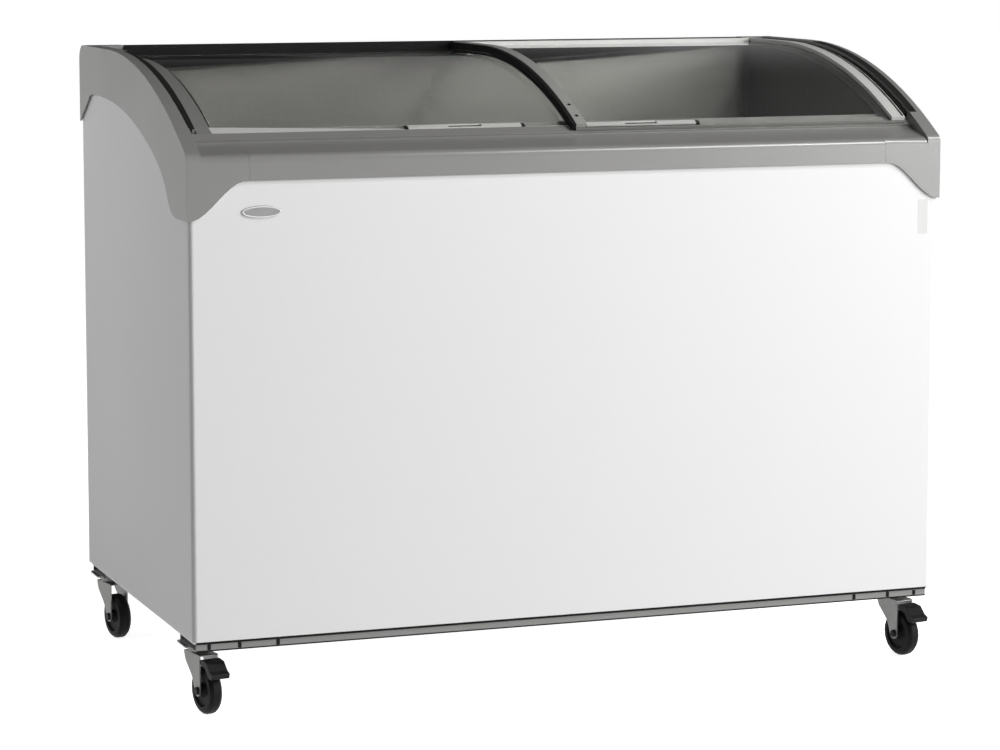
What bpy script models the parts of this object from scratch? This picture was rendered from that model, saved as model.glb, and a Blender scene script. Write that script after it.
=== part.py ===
"""Chest freezer with two curved sliding glass lids, on four swivel casters.

Metres, +Z up, the origin on the floor under the middle of the cabinet.
X runs along the width and -Y is the front. Each object is one piece of the freezer.
"""

import math

import bmesh
import bpy
from mathutils import Matrix, Vector

# Overall sizes
TRIM_HALF_WIDTH = 0.640
TRIM_FRONT = -0.350
TRIM_REAR = 0.350
TOP = 1.020
GAP = 0.0003  # left between pieces that touch

# Cabinet, the sheet steel box inside the plastic trim
CABINET_HALF_WIDTH = 0.636
CABINET_FRONT = -0.346
CABINET_REAR = 0.346
CABINET_BOTTOM = 0.125
CABINET_REAR_TOP = 0.965
CABINET_FRONT_TOP = 0.845
CABINET_ARC_DEPTH = 0.055
CORNER_RADIUS = 0.008
SHEET = 0.0012
REAR_PANEL_Y = 0.338

# Curve of the top: flat at the rear, then one large arc down to the front
ARC_RADIUS = 0.924
ARC_CENTRE_Y = 0.143
ARC_CENTRE_Z = TOP - ARC_RADIUS
ARC_STEPS = 14

# Depths below that curve
LIP_DEPTH = 0.0174
UPPER_TRACK_DEPTH = 0.0134
LOWER_TRACK_DEPTH = 0.0224
GLIDE_RAIL_DEPTH = 0.0075
RIM_WIDTH = 0.023
RIM_EDGE_RADIUS = 0.009
RIM_FRONT_Z = 0.8787

# Tracks, as degrees round the arc at the front and as Y at the rear
LIP_ANGLE = 28.8
UPPER_TRACK_ANGLE = 28.45
LOWER_TRACK_ANGLE = 27.2
TRACK_END_ANGLE = 25.6
LOWER_TRACK_REAR = 0.2865
UPPER_TRACK_REAR = 0.300
COLLAR_REAR = 0.266
COLLAR_HALF_WIDTH = 0.575
CAP_FRONT_SEAM = 0.540

# Trim skirt
SKIRT_FRONT_Z = 0.838
SKIRT_CORNER_Z = 0.778
SKIRT_WALL = 0.0037
SLOPE_FRONT_Z = 0.876
SLOPE_EDGE_RADIUS = 0.014

# Lids
LOWER_REAR_PROFILE_WIDTH = 0.012
UPPER_REAR_PROFILE_WIDTH = 0.022
GLASS_THICKNESS = 0.004
LOWER_LID_DEPTH = 0.016
LOWER_LID_LEFT = -0.6035
LOWER_LID_RIGHT = 0.034
LOWER_LID_ANGLE = 27.0
LOWER_LID_REAR = 0.284
UPPER_LID_LEFT = 0.018
UPPER_LID_RIGHT = 0.6035
UPPER_LID_ANGLE = 28.2
UPPER_LID_REAR = 0.298
LOWER_FRAME_THICKNESS = 0.006
UPPER_FRAME_BOTTOM = 0.013
OUTER_PROFILE_DEPTH = 0.0015
LOWER_GLASS_DEPTH = 0.0175
UPPER_GLASS_DEPTH = 0.008
RAISED_DEPTH = 0.001
SEAL_BOTTOM_DEPTH = 0.0130
HANDLE_LENGTH = 0.190
HANDLE_HEIGHT = 0.0025
HANDLE_SETBACK = 0.0024
HANDLE_FLAT = 0.012
HANDLE_DEPTH = 0.016

# Tub
LINER_HALF_WIDTH = 0.574
LINER_FRONT = -0.264
LINER_REAR = 0.277
LINER_BOTTOM = 0.198
LINER_WALL = 0.002
LINER_CORNER = 0.026
STEP_LEFT = 0.330
STEP_TOP = 0.430

DRAIN_PLACE = (-0.45, -0.20)

# Machine bay under the step
BAY_LEFT = 0.345
BAY_TOP = 0.395
GRILLE_LOW = (0.350, 0.3332, 0.135)
GRILLE_HIGH = (0.630, 0.3362, 0.395)
KNOB_X = 0.400
GLAND_X = 0.590
CONTROLS_Z = 0.175
COMPRESSOR_PLACE = (0.490, 0.080)
COMPRESSOR_BOTTOM = 0.148

# Base and casters
RAIL_HALF_LENGTH = 0.630
RAIL_BOTTOM = 0.109
RAIL_HEIGHT = 0.0127
RAIL_OUTER_Y = 0.341
RAIL_INNER_Y = 0.245
CASTER_X = 0.606
CASTER_FRONT_Y = -0.268
CASTER_REAR_Y = 0.316
CASTER_HEADING = -80.0
CASTER_TRAIL = 0.028
WHEEL_RADIUS = 0.038
WHEEL_HALF_WIDTH = 0.011
FORK_TOP = 0.0952
FORK_LEG_INSIDE = 0.0140
FORK_SHEET = 0.0022
PEDAL_PIVOT = (0.043, 0.0845)

FINISHES = {
    "white_steel": ((0.86, 0.87, 0.87), 0.30, 0.0),
    "grey_trim": ((0.23, 0.23, 0.22), 0.38, 0.0),
    "light_trim": ((0.42, 0.42, 0.40), 0.40, 0.0),
    "liner": ((0.33, 0.33, 0.32), 0.35, 0.2),
    "black_rubber": ((0.012, 0.012, 0.012), 0.60, 0.0),
    "black_plastic": ((0.018, 0.018, 0.018), 0.42, 0.0),
    "glass": ((0.55, 0.58, 0.57), 0.05, 0.0),
    "zinc": ((0.45, 0.45, 0.45), 0.35, 1.0),
    "copper": ((0.60, 0.30, 0.18), 0.35, 1.0),
    "foam": ((0.72, 0.62, 0.38), 0.90, 0.0),
}


# ---------------------------------------------------------------- scene and materials

def clear_scene():
    for obj in list(bpy.data.objects):
        bpy.data.objects.remove(obj, do_unlink=True)


def new_collection(name):
    collection = bpy.data.collections.new(name)
    bpy.context.scene.collection.children.link(collection)
    return collection


def finish(obj, finish_name):
    """Give the object a Principled material of its own."""
    colour, roughness, metallic = FINISHES[finish_name]
    material = bpy.data.materials.new(obj.name)
    material.use_nodes = True
    shader = material.node_tree.nodes["Principled BSDF"]
    shader.inputs["Base Color"].default_value = (*colour, 1.0)
    shader.inputs["Roughness"].default_value = roughness
    shader.inputs["Metallic"].default_value = metallic
    obj.data.materials.clear()
    obj.data.materials.append(material)
    return obj


# ---------------------------------------------------------------- making shapes

def link_mesh(name, mesh, collection=None):
    obj = bpy.data.objects.new(name, mesh)
    (collection or PARTS).objects.link(obj)
    return obj


def round_shading(obj):
    obj.data.shade_smooth()
    obj.data.set_sharp_from_angle(angle=math.radians(35))
    return obj


def mesh_from_curve(curve_object):
    """The curve as a closed mesh, with its caps welded to its sides."""
    bpy.context.view_layer.update()
    graph = bpy.context.evaluated_depsgraph_get()
    mesh = bpy.data.meshes.new_from_object(curve_object.evaluated_get(graph))
    edit = bmesh.new()
    edit.from_mesh(mesh)
    bmesh.ops.remove_doubles(edit, verts=edit.verts, dist=1e-6)
    bmesh.ops.recalc_face_normals(edit, faces=edit.faces)
    edit.to_mesh(mesh)
    edit.free()
    bpy.data.objects.remove(curve_object, do_unlink=True)
    return mesh


PLANES = {
    # local x, y and z of the outline, as directions of the freezer
    "side": Matrix(((0, 0, 1, 0), (1, 0, 0, 0), (0, 1, 0, 0), (0, 0, 0, 1))),
    "front": Matrix(((1, 0, 0, 0), (0, 0, -1, 0), (0, 1, 0, 0), (0, 0, 0, 1))),
    "plan": Matrix.Identity(4),
}


def prism(name, outline, plane, low, high, collection=None):
    """A flat outline, extruded from low to high across its plane.

    side takes (y, z) and extrudes along X, front takes (x, z) and extrudes along Y,
    and plan takes (x, y) and extrudes along Z.
    """
    low, high = min(low, high), max(low, high)
    curve = bpy.data.curves.new(name, "CURVE")
    curve.dimensions = "2D"
    curve.fill_mode = "BOTH"
    curve.extrude = (high - low) / 2
    spline = curve.splines.new("POLY")
    spline.points.add(len(outline) - 1)
    for point, (a, b) in zip(spline.points, outline):
        point.co = (a, b, 0.0, 1.0)
    spline.use_cyclic_u = True
    flat = bpy.data.objects.new(name + "_outline", curve)
    bpy.context.scene.collection.objects.link(flat)
    mesh = mesh_from_curve(flat)
    middle = (low + high) / 2
    if plane == "front":
        middle = -middle
    mesh.transform(PLANES[plane] @ Matrix.Translation((0, 0, middle)))
    return link_mesh(name, mesh, collection)


def box(name, low, high, collection=None):
    low, high = Vector(low), Vector(high)
    edit = bmesh.new()
    bmesh.ops.create_cube(edit, size=1.0)
    bmesh.ops.scale(edit, vec=high - low, verts=edit.verts)
    bmesh.ops.translate(edit, vec=(low + high) / 2, verts=edit.verts)
    mesh = bpy.data.meshes.new(name)
    edit.to_mesh(mesh)
    edit.free()
    return link_mesh(name, mesh, collection)


def cylinder(name, radius, start, end, sides=24, collection=None):
    """A round bar from one point to another."""
    start, end = Vector(start), Vector(end)
    along = end - start
    turn = along.to_track_quat("Z", "Y").to_matrix().to_4x4()
    edit = bmesh.new()
    bmesh.ops.create_cone(
        edit,
        cap_ends=True,
        segments=sides,
        radius1=radius,
        radius2=radius,
        depth=along.length,
        matrix=Matrix.Translation((start + end) / 2) @ turn,
    )
    mesh = bpy.data.meshes.new(name)
    edit.to_mesh(mesh)
    edit.free()
    return round_shading(link_mesh(name, mesh, collection))


def turned(name, profile, steps, closed=False, collection=None):
    """A profile of (radius, height) points turned about Z; a closed profile makes a ring."""
    edges = [(i, i + 1) for i in range(len(profile) - 1)]
    if closed:
        edges.append((len(profile) - 1, 0))
    mesh = bpy.data.meshes.new(name)
    mesh.from_pydata([(r, 0.0, z) for r, z in profile], edges, [])
    obj = link_mesh(name, mesh, collection)
    screw = obj.modifiers.new("turn", "SCREW")
    screw.axis = "Z"
    screw.steps = steps
    screw.render_steps = steps
    screw.use_merge_vertices = True
    screw.merge_threshold = 0.00001
    screw.use_smooth_shade = True
    return obj


def tube(name, points, radius):
    curve = bpy.data.curves.new(name, "CURVE")
    curve.dimensions = "3D"
    curve.bevel_depth = radius
    curve.bevel_resolution = 2
    curve.use_fill_caps = True
    spline = curve.splines.new("POLY")
    spline.points.add(len(points) - 1)
    for point, place in zip(spline.points, points):
        point.co = (*place, 1.0)
    path = bpy.data.objects.new(name + "_path", curve)
    bpy.context.scene.collection.objects.link(path)
    return round_shading(link_mesh(name, mesh_from_curve(path)))


def join_or_cut(obj, other, operation):
    """A Boolean with a wire object that isn't a piece of its own."""
    other.hide_render = True
    other.display_type = "WIRE"
    boolean = obj.modifiers.new(other.name, "BOOLEAN")
    boolean.operation = operation
    boolean.solver = "EXACT"
    boolean.object = other
    return obj


def cut(obj, cutter):
    return join_or_cut(obj, cutter, "DIFFERENCE")


def bevel(obj, width, segments=3):
    """Round every edge that turns more than 40 degrees."""
    modifier = obj.modifiers.new("round_edges", "BEVEL")
    modifier.width = width
    modifier.segments = segments
    modifier.limit_method = "ANGLE"
    modifier.angle_limit = math.radians(40)
    return obj


def bevel_chosen(obj, width, segments, chosen):
    """Round only the edges whose two ends the function chosen accepts."""
    mesh = obj.data
    weights = mesh.attributes.new("bevel_weight_edge", "FLOAT", "EDGE")
    for edge in mesh.edges:
        a, b = (mesh.vertices[i].co for i in edge.vertices)
        weights.data[edge.index].value = 1.0 if chosen(a, b) else 0.0
    modifier = obj.modifiers.new("round_chosen", "BEVEL")
    modifier.width = width
    modifier.segments = segments
    modifier.limit_method = "WEIGHT"
    return obj


# ---------------------------------------------------------------- outlines

def rounded(corners, steps=4):
    """An outline whose corners (a, b, radius) are replaced by arcs."""
    outline = []
    count = len(corners)
    for i, (a, b, radius) in enumerate(corners):
        here = Vector((a, b))
        if radius == 0:
            outline.append((a, b))
            continue
        before = (Vector(corners[i - 1][:2]) - here).normalized()
        after = (Vector(corners[(i + 1) % count][:2]) - here).normalized()
        half = before.angle(after) / 2
        centre = here + (before + after).normalized() * radius / math.sin(half)
        start = here + before * radius / math.tan(half) - centre
        turn = start.angle_signed(here + after * radius / math.tan(half) - centre)
        for k in range(steps + 1):
            point = start.copy()
            point.rotate(Matrix.Rotation(-turn * k / steps, 2))
            outline.append(tuple(centre + point))
    return outline


def smooth_path(points, steps=4):
    """Points of a smooth curve through the given ones (Catmull-Rom)."""
    path = []
    padded = [points[0], *points, points[-1]]
    for p0, p1, p2, p3 in zip(padded, padded[1:], padded[2:], padded[3:]):
        for k in range(steps):
            t = k / steps
            path.append(tuple(
                0.5 * (2 * b + (c - a) * t + (2 * a - 5 * b + 4 * c - d) * t * t
                       + (3 * b - a - 3 * c + d) * t ** 3)
                for a, b, c, d in zip(p0, p1, p2, p3)
            ))
    path.append(points[-1])
    return path


def on_arc(depth, degrees):
    """The point (y, z) this deep below the top curve, this far round its arc."""
    radius = ARC_RADIUS - depth
    angle = math.radians(degrees)
    return (ARC_CENTRE_Y - radius * math.sin(angle), ARC_CENTRE_Z + radius * math.cos(angle))


def arc(depth, first, last, steps=ARC_STEPS):
    return [on_arc(depth, first + (last - first) * k / steps) for k in range(steps + 1)]


def curved_strip(top_depth, bottom_depth, front_angle, rear_y):
    """A strip that follows the top curve from the front to the flat rear."""
    above = arc(top_depth, front_angle, 0) + [(rear_y, TOP - top_depth)]
    below = arc(bottom_depth, front_angle, 0) + [(rear_y, TOP - bottom_depth)]
    return above + below[::-1]


def degrees_of(length):
    return math.degrees(length / ARC_RADIUS)


def cabinet_outline(inset, front, rear, bottom):
    """Side view of the cabinet, whose top edge follows the curve of the lids."""
    depth = CABINET_ARC_DEPTH + inset
    front_top = CABINET_FRONT_TOP - inset
    radius = ARC_RADIUS - depth
    meets = math.degrees(math.acos((front_top - ARC_CENTRE_Z) / radius))
    return [
        (rear, bottom),
        (rear, TOP - depth),
        *arc(depth, 0, meets),
        (front, front_top),
        (front, bottom),
    ]


def deck_outline():
    """The surface that the lids run on, from the front edge to the rear rail's top."""
    front = rounded([
        (TRIM_FRONT, SKIRT_FRONT_Z, 0),
        (TRIM_FRONT, SLOPE_FRONT_Z, SLOPE_EDGE_RADIUS),
        (*on_arc(LIP_DEPTH, LIP_ANGLE), 0),
    ])[1:]
    return [
        *front,
        on_arc(LIP_DEPTH, UPPER_TRACK_ANGLE),
        on_arc(UPPER_TRACK_DEPTH, UPPER_TRACK_ANGLE),
        on_arc(UPPER_TRACK_DEPTH, LOWER_TRACK_ANGLE),
        *arc(LOWER_TRACK_DEPTH, LOWER_TRACK_ANGLE, 0),
        (LOWER_TRACK_REAR, TOP - LOWER_TRACK_DEPTH),
        (LOWER_TRACK_REAR, TOP - UPPER_TRACK_DEPTH),
        (UPPER_TRACK_REAR, TOP - UPPER_TRACK_DEPTH),
        (UPPER_TRACK_REAR, TOP + 0.05),
    ]


# ---------------------------------------------------------------- cabinet

def make_outer_shell():
    """Front and both sides, one sheet bent round the two front corners."""
    side, front, rear = CABINET_HALF_WIDTH, CABINET_FRONT, CABINET_REAR
    outer = [(side, rear, 0), (side, front, CORNER_RADIUS)]
    outer += [(-side, front, CORNER_RADIUS), (-side, rear, 0)]
    inner = [(-side + SHEET, rear, 0), (-side + SHEET, front + SHEET, CORNER_RADIUS - SHEET)]
    inner += [(side - SHEET, front + SHEET, CORNER_RADIUS - SHEET), (side - SHEET, rear, 0)]
    shell = prism("outer_shell", rounded(outer + inner), "plan", CABINET_BOTTOM, TOP)
    keep = prism("shell_top", cabinet_outline(0, front - 0.01, rear + 0.01, 0.05),
                 "side", -0.7, 0.7, CUTTERS)
    join_or_cut(shell, keep, "INTERSECT")
    return finish(round_shading(shell), "white_steel")


def make_rear_panel():
    """Flat sheet across the back, with an opening for the machine bay's grille."""
    panel = box("rear_panel",
                (-CABINET_HALF_WIDTH + 0.002, REAR_PANEL_Y - 0.0015, CABINET_BOTTOM + GAP),
                (CABINET_HALF_WIDTH - 0.002, REAR_PANEL_Y, CABINET_REAR_TOP - GAP))
    cut(panel, box("grille_opening", (0.362, 0.30, 0.147), (0.618, 0.36, 0.383), CUTTERS))
    return finish(panel, "white_steel")


def drain_hole(name, radius, low, high):
    return cylinder(name, radius, (*DRAIN_PLACE, low), (*DRAIN_PLACE, high), 16, CUTTERS)


def make_bottom_panel():
    """Flat sheet under the cabinet, which stands on the two base rails."""
    panel = box("bottom_panel", (-0.634, -0.342, 0.1220), (0.634, 0.334, CABINET_BOTTOM - GAP))
    cut(panel, drain_hole("drain_hole_panel", 0.0105, 0.11, 0.14))
    return finish(panel, "zinc")


def make_inner_liner():
    """The tub: rounded corners, and a step at the right over the machine bay."""
    top = TOP + 0.05
    liner = box("inner_liner", (-LINER_HALF_WIDTH, LINER_FRONT, LINER_BOTTOM),
                (LINER_HALF_WIDTH, LINER_REAR, top))
    bevel(liner, LINER_CORNER)
    step = box("liner_step_outside", (STEP_LEFT + LINER_WALL, -0.4, 0.1),
               (0.7, 0.4, STEP_TOP - LINER_WALL), CUTTERS)
    cut(liner, step)
    wall = LINER_WALL
    space = box("liner_space",
                (-LINER_HALF_WIDTH + wall, LINER_FRONT + wall, LINER_BOTTOM + wall),
                (LINER_HALF_WIDTH - wall, LINER_REAR - wall, top + 0.05), CUTTERS)
    bevel(space, LINER_CORNER - wall)
    cut(space, box("liner_step_inside", (STEP_LEFT, -0.4, 0.1), (0.7, 0.4, STEP_TOP), CUTTERS))
    cut(liner, space)
    edge = prism("liner_top", cabinet_outline(GAP, -0.4, 0.4, 0.1), "side", -0.7, 0.7, CUTTERS)
    join_or_cut(liner, edge, "INTERSECT")
    cut(liner, drain_hole("drain_hole_liner", 0.0120, 0.19, 0.21))
    return finish(liner, "liner")


def make_foam():
    """Insulation between the tub and the cabinet, with room for the pipes on both faces."""
    outline = cabinet_outline(GAP, -0.338, 0.330, CABINET_BOTTOM + GAP)
    foam = prism("foam_insulation", outline, "side", -0.628, 0.628)
    room = box("foam_tub_space", (-0.583, -0.273, LINER_BOTTOM - GAP), (0.583, 0.286, 1.1), CUTTERS)
    cut(room, box("foam_step", (STEP_LEFT + LINER_WALL + GAP, -0.4, 0.1),
                  (0.7, 0.4, STEP_TOP - LINER_WALL - GAP), CUTTERS))
    cut(foam, room)
    cut(foam, box("foam_bay_space", (BAY_LEFT - 0.0023, -0.4, 0.1), (0.7, 0.4, BAY_TOP + GAP),
                  CUTTERS))
    cut(foam, drain_hole("drain_hole_foam", 0.0105, 0.11, 0.21))
    return finish(foam, "foam")


def make_bay_sheet():
    """The bent sheet between the foam and the machine bay."""
    outline = [
        (BAY_LEFT - 0.002, CABINET_BOTTOM + GAP),
        (BAY_LEFT, CABINET_BOTTOM + GAP),
        (BAY_LEFT, BAY_TOP - 0.002),
        (0.628, BAY_TOP - 0.002),
        (0.628, BAY_TOP),
        (BAY_LEFT - 0.002, BAY_TOP),
    ]
    return finish(prism("machine_bay_sheet", outline, "front", -0.337, 0.330), "zinc")


def make_evaporator():
    """Refrigerant pipe wound round the upper tub."""
    x, front, rear, bend = 0.5785, -0.2685, 0.2815, 0.028
    loops, low, high = 3, 0.500, 0.740
    corners = [(x, rear, 0), (-x, rear, 90), (-x, front, 180), (x, front, 270)]
    points = []
    for turn in range(loops):
        for quarter, (cx, cy, start) in enumerate(corners):
            centre = (cx - math.copysign(bend, cx), cy - math.copysign(bend, cy))
            for step in range(3):
                angle = math.radians(start + 45 * step)
                rise = (turn * 4 + quarter + step / 9) / (loops * 4)
                points.append((centre[0] + bend * math.cos(angle),
                               centre[1] + bend * math.sin(angle),
                               low + (high - low) * rise))
    return finish(tube("evaporator_pipe", points, 0.0035), "copper")


def make_condenser():
    """Warm refrigerant pipe laid in a zigzag on the inside of the front panel."""
    y, left, right, bend = -0.3412, -0.550, 0.280, 0.050
    passes, low = 6, 0.200
    points = [(right + bend, y, low)]
    for turn in range(passes - 1):
        z = low + 2 * bend * turn
        side = -1 if turn % 2 == 0 else 1
        edge = left if side < 0 else right
        for step in range(6):
            angle = math.radians(-90 + 36 * step)
            points.append((edge + side * bend * math.cos(angle), y,
                           z + bend + bend * math.sin(angle)))
    points.append((left - bend, y, low + 2 * bend * (passes - 1)))
    return finish(tube("condenser_pipe", points, 0.0025), "copper")


# ---------------------------------------------------------------- trim round the top

def skirt_drop(x):
    """Height of the front skirt's lower edge, which falls in an S towards the corners."""
    start = CAP_FRONT_SEAM + 0.006
    t = min(max((abs(x) - start) / (TRIM_HALF_WIDTH - 0.004 - start), 0.0), 1.0)
    return SKIRT_FRONT_Z - (SKIRT_FRONT_Z - SKIRT_CORNER_Z) * (3 * t * t - 2 * t ** 3)


def side_skirt_edge():
    """Lower edge of the end cap in side view: a tip at each corner and a long arch between."""
    arch = smooth_path([
        (0.286, 0.930), (0.268, 0.9385), (0.200, 0.9400), (0.094, 0.9325), (-0.014, 0.9130),
        (-0.113, 0.8830), (-0.183, 0.8520), (-0.220, 0.8250), (-0.241, 0.7980),
        (-0.262, 0.7830), (-0.290, SKIRT_CORNER_Z),
    ])
    return [(0.352, 0.889), *arch, (-0.360, SKIRT_CORNER_Z)]


def make_end_cap(name, side):
    """Moulded cap over one end: the rim, the side skirt and a wrap round the front corner."""
    rim = arc(0, 0, 31.6)
    outline = rounded([
        (TRIM_REAR, SKIRT_CORNER_Z - 0.002, 0),
        (TRIM_REAR, TOP, 0.025),
        *[(y, z, 0) for y, z in rim],
        (TRIM_FRONT, RIM_FRONT_Z, SLOPE_EDGE_RADIUS),
        (TRIM_FRONT, SKIRT_CORNER_Z - 0.002, 0),
    ])
    outer = side * TRIM_HALF_WIDTH
    cap = prism(name, outline, "side", side * CAP_FRONT_SEAM, outer)

    def on_outer_face(a, b):
        at_side = abs(a.x - outer) < 1e-5 and abs(b.x - outer) < 1e-5
        return at_side and max(a.z, b.z) > SKIRT_CORNER_Z

    bevel_chosen(cap, RIM_EDGE_RADIUS, 3, on_outer_face)

    wall = side * (TRIM_HALF_WIDTH - SKIRT_WALL)
    inside = prism(name + "_inside",
                   cabinet_outline(-GAP, TRIM_FRONT + SKIRT_WALL, 0.36, 0.7),
                   "side", side * 0.5, wall, CUTTERS)

    def on_inner_corner(a, b):
        front = TRIM_FRONT + SKIRT_WALL
        at_front = abs(a.y - front) < 1e-5 and abs(b.y - front) < 1e-5
        return at_front and abs(a.x - wall) < 1e-5 and abs(b.x - wall) < 1e-5

    bevel_chosen(inside, RIM_EDGE_RADIUS - SKIRT_WALL + GAP, 3, on_inner_corner)
    cut(cap, inside)

    sheet_side = side * (TRIM_HALF_WIDTH - SKIRT_WALL - 0.0008)
    cut(cap, prism(name + "_side_edge", side_skirt_edge() + [(-0.36, 0.7), (0.36, 0.7)],
                   "side", sheet_side, side * 0.66, CUTTERS))
    xs = [CAP_FRONT_SEAM - 0.01 + k * 0.0101 for k in range(13)]
    drop = [(side * x, skirt_drop(x)) for x in xs]
    cut(cap, prism(name + "_front_edge", drop + [(drop[-1][0], 0.7), (drop[0][0], 0.7)],
                   "front", -0.36, TRIM_FRONT + SKIRT_WALL + 0.0008, CUTTERS))

    deck = deck_outline()
    above = deck + [(TRIM_FRONT - 0.02, TOP + 0.05), (TRIM_FRONT - 0.02, deck[0][1])]
    cut(cap, prism(name + "_deck", above, "side", side * 0.5,
                   side * (TRIM_HALF_WIDTH - RIM_WIDTH), CUTTERS))
    collar_front = on_arc(LOWER_TRACK_DEPTH, TRACK_END_ANGLE)[0]
    cut(cap, box(name + "_opening",
                 (min(side * 0.5, side * COLLAR_HALF_WIDTH), collar_front, 0.7),
                 (max(side * 0.5, side * COLLAR_HALF_WIDTH), 0.4, 1.1), CUTTERS))
    track = curved_strip(GLIDE_RAIL_DEPTH, LOWER_TRACK_DEPTH + 0.001, LOWER_LID_ANGLE,
                         LOWER_LID_REAR)
    join_or_cut(cap, prism(name + "_track", track, "side", side * 0.6050, side * 0.6092, CUTTERS),
                "UNION")
    return finish(round_shading(cap), "grey_trim")


def make_mirrored(name, original, finish_name):
    """The same piece for the other end of the cabinet."""
    bpy.context.view_layer.update()
    graph = bpy.context.evaluated_depsgraph_get()
    mesh = bpy.data.meshes.new_from_object(original.evaluated_get(graph))
    mesh.transform(Matrix.Scale(-1, 4, (1, 0, 0)))
    mesh.flip_normals()
    return finish(link_mesh(name, mesh), finish_name)


def make_front_rail():
    """The sloping front trim, with the two tracks of the lids along its inner edge."""
    deck = [point for point in deck_outline() if point[0] < 0.0]
    collar = on_arc(LOWER_TRACK_DEPTH, TRACK_END_ANGLE)
    deck = [point for point in deck if point[0] < collar[0]]
    sheet_face = TRIM_FRONT + SKIRT_WALL
    under_depth = CABINET_ARC_DEPTH - GAP
    under_top = CABINET_FRONT_TOP + GAP
    radius = ARC_RADIUS - under_depth
    first = math.degrees(math.asin((ARC_CENTRE_Y - collar[0]) / radius))
    last = math.degrees(math.acos((under_top - ARC_CENTRE_Z) / radius))
    outline = [
        *deck,
        collar,
        *arc(under_depth, first, last, 3),
        (sheet_face, under_top),
        (sheet_face, SKIRT_FRONT_Z),
        (TRIM_FRONT, SKIRT_FRONT_Z),
    ]
    end = CAP_FRONT_SEAM - GAP
    return finish(round_shading(prism("front_rail", outline, "side", -end, end)), "grey_trim")


def make_rear_rail():
    """The rear trim, with the rear ends of the two tracks."""
    outline = rounded([
        (TRIM_REAR, CABINET_REAR_TOP + GAP, 0),
        (TRIM_REAR, TOP - 0.0005, 0.025),
        (UPPER_TRACK_REAR, TOP - 0.0005, 0.002),
        (UPPER_TRACK_REAR, TOP - UPPER_TRACK_DEPTH, 0),
        (LOWER_TRACK_REAR, TOP - UPPER_TRACK_DEPTH, 0),
        (LOWER_TRACK_REAR, TOP - LOWER_TRACK_DEPTH, 0),
        (COLLAR_REAR, TOP - LOWER_TRACK_DEPTH, 0),
        (COLLAR_REAR, CABINET_REAR_TOP + GAP, 0),
    ])
    end = COLLAR_HALF_WIDTH - GAP
    return finish(round_shading(prism("rear_rail", outline, "side", -end, end)), "grey_trim")


def make_slot_gasket(name, side):
    """Black seal that fills the slot between the glide rail and the rim."""
    strip = curved_strip(0.0050, LOWER_TRACK_DEPTH - GAP, LOWER_LID_ANGLE, LOWER_LID_REAR)
    outer = TRIM_HALF_WIDTH - RIM_WIDTH - GAP
    return finish(prism(name, strip, "side", side * 0.6100, side * outer), "black_rubber")


# ---------------------------------------------------------------- lids

def parent_to(empty, *objects):
    for obj in objects:
        obj.parent = empty
        obj.matrix_parent_inverse = empty.matrix_basis.inverted()


def new_empty(name, place, heading=0.0):
    empty = bpy.data.objects.new(name, None)
    empty.empty_display_size = 0.05
    empty.location = place
    empty.rotation_euler = (0.0, 0.0, math.radians(heading))
    PARTS.objects.link(empty)
    return empty


def make_handle(name, left, angle, depth):
    """A low pull bar with a finger hollow in its middle."""
    outline = [
        on_arc(depth - HANDLE_HEIGHT, angle - degrees_of(HANDLE_SETBACK)),
        on_arc(depth - HANDLE_HEIGHT, angle - degrees_of(HANDLE_FLAT)),
        on_arc(depth, angle - degrees_of(HANDLE_DEPTH)),
        on_arc(depth, angle - degrees_of(HANDLE_SETBACK)),
    ]
    lifted = [(y, z + GAP) for y, z in outline]
    handle = prism(name, lifted, "side", left, left + HANDLE_LENGTH)
    middle = left + HANDLE_LENGTH / 2
    y, z = on_arc(depth, angle - degrees_of(0.007))
    cut(handle, box(name + "_hollow", (middle - 0.028, y - 0.004, z - 0.02),
                    (middle + 0.028, y + 0.004, z + 0.02), CUTTERS))
    return finish(handle, "light_trim")


def make_lower_lid():
    """Left lid, which runs in the lower track: glass with a profile on three sides."""
    top, bottom = LOWER_LID_DEPTH, LOWER_LID_DEPTH + LOWER_FRAME_THICKNESS
    left, right = LOWER_LID_LEFT, LOWER_LID_RIGHT
    inner_left, inner_right = left + 0.026, right - 0.020
    strip = curved_strip(top, bottom, LOWER_LID_ANGLE, LOWER_LID_REAR)
    outer = finish(prism("lower_lid_outer_profile", strip, "side", left, inner_left), "grey_trim")
    inner = finish(prism("lower_lid_inner_profile", strip, "side", inner_right, right),
                   "black_plastic")
    rear_y = LOWER_LID_REAR - LOWER_REAR_PROFILE_WIDTH
    rear = finish(box("lower_lid_rear_profile",
                      (inner_left + GAP, rear_y, TOP - bottom),
                      (inner_right - GAP, LOWER_LID_REAR, TOP - top)), "black_plastic")
    pane = curved_strip(LOWER_GLASS_DEPTH, LOWER_GLASS_DEPTH + GLASS_THICKNESS,
                        LOWER_LID_ANGLE, rear_y - GAP)
    glass = finish(round_shading(prism("lower_lid_glass", pane, "side",
                                       inner_left + GAP, inner_right - GAP)), "glass")
    handle = make_handle("lower_lid_handle", -0.256, LOWER_LID_ANGLE, LOWER_GLASS_DEPTH)
    parent_to(new_empty("lower_lid", (0, 0, TOP)), outer, inner, rear, glass, handle)


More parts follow.
